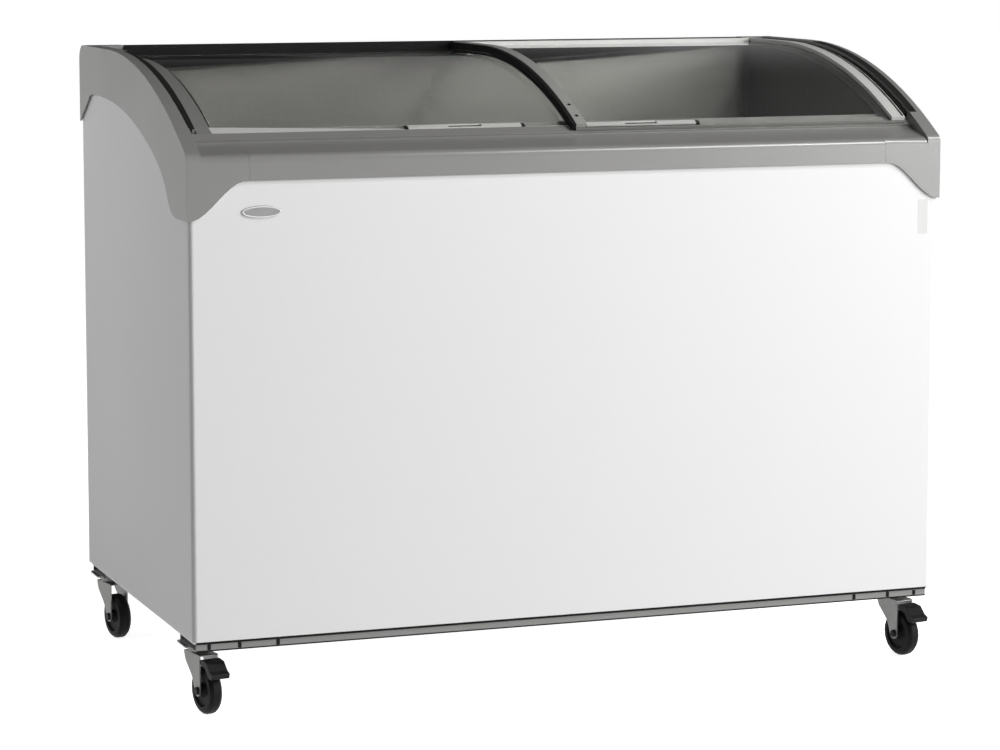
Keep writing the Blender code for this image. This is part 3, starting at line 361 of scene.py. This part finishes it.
WHITE = (0.86, 0.865, 0.86)
white_coat = make_finish("white_powder_coat", WHITE, 0.34, fine=700.0, relief=0.00002,
                         broad=2.2, drift=0.010, worn=(0.62, 0.61, 0.59), wear_amount=0.25,
                         dust_amount=0.03, shine=0.25)
dress(white_coat, "white_steel", "outer_shell")


# ---------------------------------------------------------------- back, bottom and bay
# Galvanised sheet: the flat back, the floor of the cabinet and the box over the machine bay,
# all riveted inside the skin, with a pressed grille in front of the compressor.
galvanised = make_finish("galvanised_sheet", (0.50, 0.51, 0.52), 0.42, metallic=0.85,
                         fine=260.0, relief=0.00001, broad=38.0, drift=0.14,
                         worn=(0.70, 0.70, 0.70), wear_amount=0.3, dust_amount=0.2)
dress(galvanised, "zinc_steel", "rear_panel", "bottom_panel", "machine_bay_sheet", "rear_grille")


# ---------------------------------------------------------------- tub
# One-piece liner of grey aluminium sheet with an all-over embossed stucco pattern, folded
# and sealed at the corners. The step clears the machine bay. The colour carries painted
# shade, near black at the right end of the tub, and painted light that brightens it to the right.
LINER_GREY = (0.36, 0.355, 0.335)
liner_finish, tree, out = new_material("stucco_aluminium")
shader = put(tree, "ShaderNodeBsdfPrincipled", Metallic=0.3)
place = put(tree, "ShaderNodeTexCoord")
stucco = put(tree, "ShaderNodeTexVoronoi", feature="SMOOTH_F1", Scale=95.0, Smoothness=0.8)
wrinkle = put(tree, "ShaderNodeTexNoise", Scale=160.0, Detail=2.0)
frost = put(tree, "ShaderNodeTexNoise", Scale=5.0, Detail=5.0, Roughness=0.6)
for texture in (stucco, wrinkle, frost):
    wire(tree, place.outputs["Object"], texture.inputs["Vector"])
pressed = put(tree, "ShaderNodeMath", operation="MULTIPLY_ADD")
pressed.inputs[1].default_value = 0.35
wire(tree, wrinkle, pressed.inputs[0])
wire(tree, stucco.outputs["Distance"], pressed.inputs[2])
bump = put(tree, "ShaderNodeBump", Distance=0.0005, Strength=0.6)
wire(tree, pressed, bump.inputs["Height"])
wire(tree, bump, shader.inputs["Normal"])
tone = put(tree, "ShaderNodeMix", data_type="RGBA")
tone.inputs["A"].default_value = tint(LINER_GREY, 0.92)
tone.inputs["B"].default_value = tint(LINER_GREY, 1.08)
wire(tree, frost, tone.inputs["Factor"])
# Painted shade: towards the right end wall the colour falls to a twentieth of itself.
corner = put(tree, "ShaderNodeSeparateXYZ")
painted_end_shade = put(tree, "ShaderNodeMapRange", interpolation_type="SMOOTHSTEP")
painted_end_shade.inputs["From Min"].default_value = 0.54
painted_end_shade.inputs["From Max"].default_value = 0.571
painted_end_shade.inputs["To Min"].default_value = 1.0
painted_end_shade.inputs["To Max"].default_value = 0.05
# Painted light: the colour brightens from the left end to the right, as the light falls.
painted_light_gradient = put(tree, "ShaderNodeMapRange")
painted_light_gradient.inputs["From Min"].default_value = -0.50
painted_light_gradient.inputs["From Max"].default_value = 0.45
painted_light_gradient.inputs["To Min"].default_value = 0.80
painted_light_gradient.inputs["To Max"].default_value = 1.18
painted_light_and_shade = put(tree, "ShaderNodeMath", operation="MULTIPLY")
shaded = put(tree, "ShaderNodeVectorMath", operation="SCALE")
wire(tree, place.outputs["Object"], corner.inputs["Vector"])
wire(tree, corner.outputs["X"], painted_end_shade.inputs["Value"])
wire(tree, tone.outputs["Result"], shaded.inputs[0])
wire(tree, corner.outputs["X"], painted_light_gradient.inputs["Value"])
wire(tree, painted_end_shade, painted_light_and_shade.inputs[0])
wire(tree, painted_light_gradient, painted_light_and_shade.inputs[1])
wire(tree, painted_light_and_shade, shaded.inputs["Scale"])
wire(tree, shaded, shader.inputs["Base Color"])
gloss = put(tree, "ShaderNodeMapRange")
gloss.inputs["To Min"].default_value = 0.36
gloss.inputs["To Max"].default_value = 0.50
wire(tree, frost, gloss.inputs["Value"])
wire(tree, gloss, shader.inputs["Roughness"])
wire(tree, shader, out.inputs["Surface"])
dress(liner_finish, "liner_steel", "inner_liner", softened=0.0)

# The same sheet is carried up inside the collar of the trim to just under the lids.
CURVE_RADIUS = 0.924
CURVE_CENTRE_Y = 0.143
CURVE_TOP = 1.020
PIECE_EDGE = 0.00015


def on_curve(depth, degrees):
    """The (y, z) this deep under the curve of the lids, this far round its arc."""
    radius = CURVE_RADIUS - depth
    angle = math.radians(degrees)
    return (CURVE_CENTRE_Y - radius * math.sin(angle),
            CURVE_TOP - CURVE_RADIUS + radius * math.cos(angle))


def loft(name, rings, finish, body, closed=False):
    """A solid through rings of corner points, with flat ends unless it closes on itself."""
    corners = len(rings[0])
    faces = []
    turns = len(rings) if closed else len(rings) - 1
    for turn in range(turns):
        this_ring, next_ring = turn * corners, (turn + 1) % len(rings) * corners
        for here in range(corners):
            beside = (here + 1) % corners
            faces.append((this_ring + here, this_ring + beside,
                          next_ring + beside, next_ring + here))
    if not closed:
        last = (len(rings) - 1) * corners
        faces += [tuple(reversed(range(corners))), tuple(range(last, last + corners))]
    mesh = bpy.data.meshes.new(name)
    mesh.from_pydata([point for ring in rings for point in ring], [], faces)
    edit = bmesh.new()
    edit.from_mesh(mesh)
    bmesh.ops.recalc_face_normals(edit, faces=edit.faces)
    edit.to_mesh(mesh)
    edit.free()
    mesh.shade_smooth()
    mesh.set_sharp_from_angle(angle=SMOOTH_BELOW)
    mesh.materials.append(finish)
    piece = bpy.data.objects.new(name, mesh)
    bpy.context.scene.collection.objects.link(piece)
    ease = piece.modifiers.new("eased_edges", "BEVEL")
    ease.limit_method = "ANGLE"
    ease.angle_limit = SMOOTH_BELOW
    ease.width = PIECE_EDGE
    ease.segments = 2
    ease.harden_normals = True
    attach(piece, body)
    return piece


def across(outline, left, right):
    """Two rings that carry a (y, z) outline from one X to another."""
    return [[(x, y, z) for y, z in outline] for x in (left, right)]


def along_curve(left, right, top, bottom, front, back=0.0, rear_y=None, steps=24):
    """Rings of a bar that follows the curve of the lids, and runs on level to rear_y if given.

    left and right are X, and top and bottom depths. Each may be a pair, front then rear.
    """
    rings = []
    for step in range(steps + 1):
        share = step / steps
        near_x, far_x, upper, lower = (
            size if isinstance(size, float) else size[0] + (size[1] - size[0]) * share
            for size in (left, right, top, bottom))
        high = on_curve(upper, front + (back - front) * share)
        low = on_curve(lower, front + (back - front) * share)
        rings.append([(near_x, *low), (far_x, *low), (far_x, *high), (near_x, *high)])
    if rear_y is not None:
        rings.append([(x, rear_y, z) for x, y, z in rings[-1]])
    return rings


COLLAR_X = 0.5717
COLLAR_SHEET = 0.0005
REAR_SHEET_Y = 0.2658
REAR_SHEET_THICK = 0.0006
REAR_SHEET_TOP = 0.9972
LINER_REAR_Y = 0.2745
FRONT_SHEET_Y = -0.2463
FRONT_SHEET_LOW = 0.8720
FRONT_SHEET_HIGH = 0.9086
loft("collar_sheet_rear", across([
    (REAR_SHEET_Y, REAR_SHEET_TOP), (REAR_SHEET_Y, 0.8350),
    (LINER_REAR_Y, 0.8200), (LINER_REAR_Y, 0.8192),
    (REAR_SHEET_Y - REAR_SHEET_THICK, 0.8348),
    (REAR_SHEET_Y - REAR_SHEET_THICK, REAR_SHEET_TOP),
], -COLLAR_X, COLLAR_X), liner_finish, "cabinet")
loft("collar_sheet_front", across([
    (FRONT_SHEET_Y, FRONT_SHEET_LOW), (FRONT_SHEET_Y, FRONT_SHEET_HIGH),
    (FRONT_SHEET_Y + COLLAR_SHEET, FRONT_SHEET_HIGH),
    (FRONT_SHEET_Y + COLLAR_SHEET, FRONT_SHEET_LOW),
], -COLLAR_X, COLLAR_X), liner_finish, "cabinet")
for end_name, end_side in (("left", -1), ("right", 1)):
    loft("collar_sheet_" + end_name,
         along_curve(end_side * COLLAR_X, end_side * (COLLAR_X - COLLAR_SHEET), 0.0228, 0.160,
                     25.2, rear_y=0.265), liner_finish, "cabinet")


# ---------------------------------------------------------------- insulation and pipes
# Rigid foam blown between the skin and the tub, with the refrigerant pipes in it: the cold
# coil round the tub, and the warm one against the skin.
foam = make_finish("rigid_foam", (0.72, 0.62, 0.38), 0.88, fine=420.0, relief=0.0003,
                   broad=14.0, drift=0.10, worn=(0.78, 0.70, 0.50), wear_amount=0.2)
dress(foam, "foam", "foam_insulation", softened=0.0)
copper = make_finish("drawn_copper", (0.66, 0.33, 0.20), 0.30, metallic=1.0, fine=500.0,
                     relief=0.00001, broad=22.0, drift=0.16, worn=(0.85, 0.50, 0.34),
                     wear_amount=0.2, dust_amount=0.05)
dress(copper, "copper_pipe", "evaporator_pipe", "condenser_pipe", softened=0.0)


# ---------------------------------------------------------------- grey trim
# Satin mid-grey mouldings with a fine spark-eroded texture: a cap over each end that wraps
# the front corners, and the front rail between them. The rear rail is dressed in black
# rubber, which also paints the shade on its front face.
CAP_GREY = (0.222, 0.220, 0.212)
cap_finish = make_finish("grey_moulding", CAP_GREY, 0.31, fine=1500.0, relief=0.00002,
                         broad=5.0, drift=0.035, worn=(0.42, 0.42, 0.40), wear_amount=0.30,
                         dust_amount=0.03, shine=0.9)
dress(cap_finish, "grey_trim", "end_cap_left", "end_cap_right", "front_rail",
      softened=0.0002)
rubber = make_finish("black_seal_rubber", (0.010, 0.010, 0.010), 0.60, fine=1200.0,
                     relief=0.00004, broad=12.0, drift=0.2, worn=(0.04, 0.04, 0.04),
                     wear_amount=0.3, dust_amount=0.02, shine=0.12)
dress(rubber, "black_rubber", "slot_gasket_left", "slot_gasket_right", softened=0.0003)
dress(rubber, "grey_trim", "rear_rail", softened=0.0006)

# Black strips on the rear track, on the left glide rail and along the slots between the caps
# and the lids: partly black rubber, partly painted shade for the deep track and slots.
loft("rear_track_shade_strip", across([
    (0.2997, 1.0186), (0.2997, 1.0067), (0.2862, 1.0067), (0.2862, 0.9980),
    (0.2856, 0.9980), (0.2856, 1.0069), (0.2990, 1.0069), (0.2990, 1.0186),
], -0.5745, 0.5745), rubber, "cabinet")
loft("glide_shade_strip_left", along_curve(-0.6093, -0.6049, 0.0069, 0.0074, 26.9, rear_y=0.283),
     rubber, "cabinet")
loft("slot_shade_strip_left", along_curve((-0.6180, -0.6250), -0.6171, -0.0003, 0.0002, 27.4, back=3.0),
     rubber, "cabinet")
loft("slot_shade_strip_right", along_curve(0.6171, (0.6300, 0.6320), -0.0003, 0.0002, 27.4, back=3.0),
     rubber, "cabinet")


# ---------------------------------------------------------------- lids
# Curved tempered glass in plastic profiles. The left lid runs in the lower track and the
# right one over it, with a raised strip and a black seal at the overlap.
glass_finish, tree, out = new_material("lid_glass")
shader = put(tree, "ShaderNodeBsdfPrincipled", Metallic=0.0, Transmission_Weight=1.0, IOR=1.5)
place = put(tree, "ShaderNodeTexCoord")
smear = put(tree, "ShaderNodeTexNoise", Scale=7.0, Detail=6.0, Roughness=0.65)
streak = put(tree, "ShaderNodeMapping")
streak.inputs["Scale"].default_value = (1.0, 0.35, 0.35)
wire(tree, place.outputs["Object"], streak.inputs["Vector"])
wire(tree, streak, smear.inputs["Vector"])
haze = put(tree, "ShaderNodeMapRange")
haze.inputs["From Min"].default_value = 0.45
haze.inputs["From Max"].default_value = 0.85
haze.inputs["To Min"].default_value = 0.005
haze.inputs["To Max"].default_value = 0.05
wire(tree, smear, haze.inputs["Value"])
wire(tree, haze, shader.inputs["Roughness"])
clear = put(tree, "ShaderNodeMix", data_type="RGBA")
clear.inputs["A"].default_value = (0.93, 0.93, 0.92, 1)
clear.inputs["B"].default_value = (0.90, 0.905, 0.895, 1)
wire(tree, smear, clear.inputs["Factor"])
wire(tree, clear.outputs["Result"], shader.inputs["Base Color"])
open_way = put(tree, "ShaderNodeBsdfTransparent", Color=(0.88, 0.885, 0.875, 1))
ray = put(tree, "ShaderNodeLightPath")
pick = put(tree, "ShaderNodeMixShader")
wire(tree, ray.outputs["Is Shadow Ray"], pick.inputs[0])
wire(tree, shader, pick.inputs[1])
wire(tree, open_way, pick.inputs[2])
wire(tree, pick, out.inputs["Surface"])
dress(glass_finish, "lid_glass", "lower_lid_glass", "upper_lid_glass", softened=0.0)

light_profile = make_finish("light_grey_profile", (0.33, 0.33, 0.315), 0.36, fine=1300.0,
                            relief=0.00002, broad=8.0, drift=0.03, worn=(0.62, 0.62, 0.60),
                            wear_amount=0.4, dust_amount=0.06)
dress(light_profile, "light_trim", "upper_lid_centre_profile", softened=0.0003)
pale_profile = make_finish("pale_grey_profile", (0.60, 0.60, 0.58), 0.36, fine=1300.0,
                           relief=0.00002, broad=8.0, drift=0.03, worn=(0.55, 0.55, 0.53),
                           wear_amount=0.4, dust_amount=0.06)
dress(pale_profile, "light_trim", "upper_lid_outer_profile", "upper_lid_rear_profile",
      softened=0.0003)
handle_finish = make_finish("pale_handle", (0.60, 0.60, 0.58), 0.34, fine=1300.0,
                            relief=0.00002, broad=8.0, drift=0.03, worn=(0.70, 0.70, 0.68),
                            wear_amount=0.4, dust_amount=0.05)
dress(handle_finish, "light_trim", "lower_lid_handle", "upper_lid_handle", softened=0.0003)
dark_profile = make_finish("dark_grey_profile", (0.20, 0.20, 0.19), 0.38, fine=1300.0,
                           relief=0.00002, broad=8.0, drift=0.04, worn=(0.36, 0.36, 0.35),
                           wear_amount=0.4, dust_amount=0.06)
dress(dark_profile, "grey_trim", "lower_lid_outer_profile", softened=0.0003)
dress(rubber, "black_rubber", "upper_lid_seal", softened=0.0)
black_plastic = make_finish("black_moulding", (0.008, 0.008, 0.008), 0.45, fine=1100.0,
                            relief=0.00004, broad=9.0, drift=0.15, worn=(0.05, 0.05, 0.05),
                            wear_amount=0.4, dust_amount=0.02, shine=0.15)
dress(black_plastic, "black_plastic", "lower_lid_inner_profile", "lower_lid_rear_profile",
      softened=0.0003)

# Edge strips: the lower lid's is painted highlight, a pale strip that widens to the left; the
# upper lid's is a thin bead. Angles are in degrees round the curve, and depths are below it.
HIGHLIGHT_WIDE = 1.35
HIGHLIGHT_NARROW = 0.20
LOWER_EDGE = 26.98
BEAD_START = 28.21
BEAD_END = 28.33
BEAD_TOP = 0.0081
BEAD_BOTTOM = 0.0122
highlight_rings = []
for x, width in ((-0.5770, HIGHLIGHT_WIDE), (-0.2570, HIGHLIGHT_NARROW), (0.0130, HIGHLIGHT_NARROW)):
    highlight_rings.append([(x, *on_curve(0.0173, LOWER_EDGE)),
                       (x, *on_curve(0.0173, LOWER_EDGE - width)),
                       (x, *on_curve(0.0166, LOWER_EDGE - width)),
                       (x, *on_curve(0.0158, LOWER_EDGE))])
loft("lower_lid_edge_highlight", highlight_rings, handle_finish, "lower_lid")
loft("upper_lid_edge_bead", across([
    on_curve(BEAD_TOP, BEAD_START), on_curve(BEAD_TOP, BEAD_END),
    on_curve(BEAD_BOTTOM, BEAD_END), on_curve(BEAD_BOTTOM, BEAD_START),
], 0.0183, 0.6032), dark_profile, "upper_lid")

# Black runners on the lids' outer profiles, next to the caps.
loft("lower_lid_runner", along_curve(-0.6033, (-0.6010, -0.5975), 0.0152, 0.0159, 26.9,
                                     rear_y=0.283), rubber, "lower_lid")
loft("upper_lid_runner", along_curve(0.5985, 0.6015, 0.0010, 0.0014, 28.0, rear_y=0.297),
     rubber, "upper_lid")

# Finger hollows are lined in black, and small black stops close the ends of the handles.
# left_end is where a handle starts, and edge the angle of the front edge of its glass.
HANDLE_WIDTH = 0.190
HOLLOW_WIDTH = 0.055
STOP_WIDTH = 0.0058
STOP_GAP = 0.0004
degrees = math.degrees(1.0 / CURVE_RADIUS)
for lid, left_end, depth, edge in (("lower_lid", -0.256, 0.0175, 27.0),
                                   ("upper_lid", 0.038, 0.0080, 28.2)):
    middle = left_end + HANDLE_WIDTH / 2
    left_stop = left_end - STOP_GAP - STOP_WIDTH
    right_stop = left_end + HANDLE_WIDTH + STOP_GAP
    loft(lid + "_hollow_lining", across([
        on_curve(depth - 0.0004, edge - 0.0036 * degrees),
        on_curve(depth - 0.0004, edge - 0.0104 * degrees),
        on_curve(depth - 0.0001, edge - 0.0104 * degrees),
        on_curve(depth - 0.0001, edge - 0.0036 * degrees),
    ], middle - HOLLOW_WIDTH / 2, middle + HOLLOW_WIDTH / 2), rubber, lid)
    for end_name, stop_x in (("left", left_stop), ("right", right_stop)):
        loft(f"{lid}_handle_stop_{end_name}", across([
            on_curve(depth - 0.0024, edge - 0.0010 * degrees),
            on_curve(depth - 0.0024, edge - 0.0110 * degrees),
            on_curve(depth - 0.0002, edge - 0.0130 * degrees),
            on_curve(depth - 0.0002, edge - 0.0010 * degrees),
        ], stop_x, stop_x + STOP_WIDTH), rubber, lid)


def disc(name, centre, radius, thickness, axis, finish, body, dome=0.35, sides=20):
    """A low round head that stands on the point centre and faces along axis."""
    turn = Vector(axis).to_track_quat("Z", "Y").to_matrix()
    rings = []
    for share, height in ((1.0, 0.0), (1.0, 1.0 - dome), (0.86, 1.0 - 0.3 * dome), (0.55, 1.0)):
        rings.append([tuple(Vector(centre) + turn @ Vector((
            radius * share * math.cos(math.tau * k / sides),
            radius * share * math.sin(math.tau * k / sides),
            thickness * height))) for k in range(sides)])
    return loft(name, rings, finish, body)


# Two screws hold the raised strip, near its front end.
STRIP_SCREW_X = 0.0270
for number, angle in enumerate((24.3, 26.6), 1):
    y, z = on_curve(0.0010, angle)
    disc(f"upper_lid_strip_screw_{number}", (STRIP_SCREW_X, y, z), 0.0030, 0.0009,
         (0.0, -math.sin(math.radians(angle)), math.cos(math.radians(angle))),
         black_plastic, "upper_lid")


# ---------------------------------------------------------------- plate on the front
# A small oval plate of pressed, chromed metal, fixed to the cabinet near its left corner.
# Its face is left blank, and a polished rim runs round it.
plate_finish = make_finish("chromed_plate", (0.30, 0.30, 0.30), 0.30, metallic=0.6,
                           fine=400.0, relief=0.00001, broad=40.0, drift=0.25)
rim_finish = make_finish("polished_rim", (0.62, 0.62, 0.62), 0.25, metallic=0.9, fine=400.0,
                         relief=0.00001, broad=60.0, drift=0.12)
dress(plate_finish, "zinc_steel", "badge_plate", softened=0.0005)
PLATE_X = -0.521
PLATE_Z = 0.790
RIM_OUTER = 0.0310
RIM_INNER = 0.0288
RIM_SQUASH = 0.0220
RIM_BACK_Y = -0.3480
RIM_FACE_Y = -0.3486
RIM_STEPS = 40
oval_rings = []
for step in range(RIM_STEPS):
    angle = math.tau * step / RIM_STEPS
    oval_rings.append([(PLATE_X + reach * math.cos(angle), y,
                        PLATE_Z + (reach - RIM_SQUASH) * math.sin(angle))
                       for reach, y in ((RIM_OUTER, RIM_BACK_Y), (RIM_OUTER, RIM_FACE_Y),
                                        (RIM_INNER, RIM_FACE_Y), (RIM_INNER, RIM_BACK_Y))])
loft("badge_rim", oval_rings, rim_finish, "cabinet", closed=True)

# The sticker near the right corner, left blank.
STICKER_BACK_Y = -0.34605
STICKER_FACE_Y = -0.34625
STICKER_LOW = 0.719
STICKER_HIGH = 0.776
sticker_paper = make_finish("sticker_paper", (0.74, 0.74, 0.73), 0.55, fine=600.0,
                            relief=0.00001, broad=30.0, drift=0.03, dust_amount=0.02)
loft("blank_sticker", across([
    (STICKER_FACE_Y, STICKER_LOW), (STICKER_FACE_Y, STICKER_HIGH),
    (STICKER_BACK_Y, STICKER_HIGH), (STICKER_BACK_Y, STICKER_LOW),
], 0.603, 0.620), sticker_paper, "cabinet")


# ---------------------------------------------------------------- base and casters
# Folded steel rails in grey paint under the cabinet, with pressed zinc casters on them. The
# front two have brake pedals.
base_paint = make_finish("grey_base_paint", (0.27, 0.27, 0.26), 0.42, fine=800.0,
                         relief=0.00003, broad=9.0, drift=0.06, worn=(0.45, 0.45, 0.44))
dress(base_paint, "base_steel", "base_rail_front", "base_rail_rear", softened=0.0004)

# Painted shadow: a black line along the foot of each rail, a black strip in the shadow line
# under the cabinet's edge above each rail, and black patches of painted shade in the slots.
RAIL_FACE = 0.3410
RAIL_HALF = 0.6300
SLOT_CENTRES = (-0.609, -0.560, -0.498, 0.498, 0.560, 0.609)
SLOT_LOW = 0.1120
SLOT_HIGH = 0.1200
SLOT_HALF = 0.0028
SHADE_PATCH_BACK = 0.0001
SHADE_PATCH_FACE = 0.0005
for rail_name, rail_side in (("front", -1), ("rear", 1)):
    face = rail_side * RAIL_FACE
    for strip_name, low, high, stand in (("foot_shade_line", 0.1091, 0.1112, 0.0008),
                                         ("seal", 0.1208, 0.1247, 0.0018)):
        loft(f"base_{strip_name}_{rail_name}", across([
            (face + rail_side * 0.0002, low), (face + rail_side * stand, low),
            (face + rail_side * stand, high), (face + rail_side * 0.0002, high),
        ], -RAIL_HALF, RAIL_HALF), rubber, "cabinet")
    for number, x in enumerate(SLOT_CENTRES, 1):
        loft(f"slot_shade_patch_{rail_name}_{number}", across([
            (face + rail_side * SHADE_PATCH_BACK, SLOT_LOW), (face + rail_side * SHADE_PATCH_FACE, SLOT_LOW),
            (face + rail_side * SHADE_PATCH_FACE, SLOT_HIGH), (face + rail_side * SHADE_PATCH_BACK, SLOT_HIGH),
        ], x - SLOT_HALF, x + SLOT_HALF), rubber, "cabinet")

# The casters: pressed forks and plates, moulded tyres, and a brake pedal on the front two.
CORNERS = ("front_left", "front_right", "rear_left", "rear_right")
zinc = make_finish("pressed_zinc", (0.24, 0.24, 0.235), 0.40, metallic=0.75, fine=350.0,
                   relief=0.00002, broad=45.0, drift=0.22, worn=(0.60, 0.60, 0.60),
                   wear_amount=0.5, dust_amount=0.06)
tyre = make_finish("caster_rubber", (0.006, 0.006, 0.006), 0.50, fine=900.0, relief=0.00006,
                   broad=30.0, drift=0.25, worn=(0.03, 0.03, 0.03), wear_amount=0.3,
                   dust_amount=0.02, shine=0.12)
for corner in CORNERS:
    dress(zinc, "zinc_steel", "caster_plate_" + corner, "caster_fork_" + corner,
          softened=0.0003)
    dress(black_plastic, "zinc_steel", "caster_axle_" + corner, softened=0.0003)
    dress(tyre, "wheel_rubber", "caster_wheel_" + corner, softened=0.0008)
dress(black_plastic, "black_plastic", "caster_pedal_front_left", "caster_pedal_front_right",
      softened=0.0004)


# ---------------------------------------------------------------- machine bay and back fittings
# The compressor in black enamel on four rubber feet, its relay box, the thermostat with its
# knob, the gland where the supply cord would enter, and the drain.
enamel = make_finish("black_enamel", (0.016, 0.016, 0.017), 0.22, fine=500.0, relief=0.00003,
                     broad=16.0, drift=0.2, worn=(0.10, 0.10, 0.10), dust_amount=0.25)
dress(enamel, "compressor_steel", "compressor", softened=0.0)
dress(rubber, "black_rubber", *[f"compressor_foot_{k}" for k in range(1, 5)], softened=0.0)
dress(black_plastic, "black_plastic", "relay_box", "thermostat_body", "thermostat_knob",
      "cord_gland", "drain_plug", "drain_pipe", softened=0.0003)


# ---------------------------------------------------------------- final update
# The view layer is brought up to date.
bpy.context.view_layer.update()
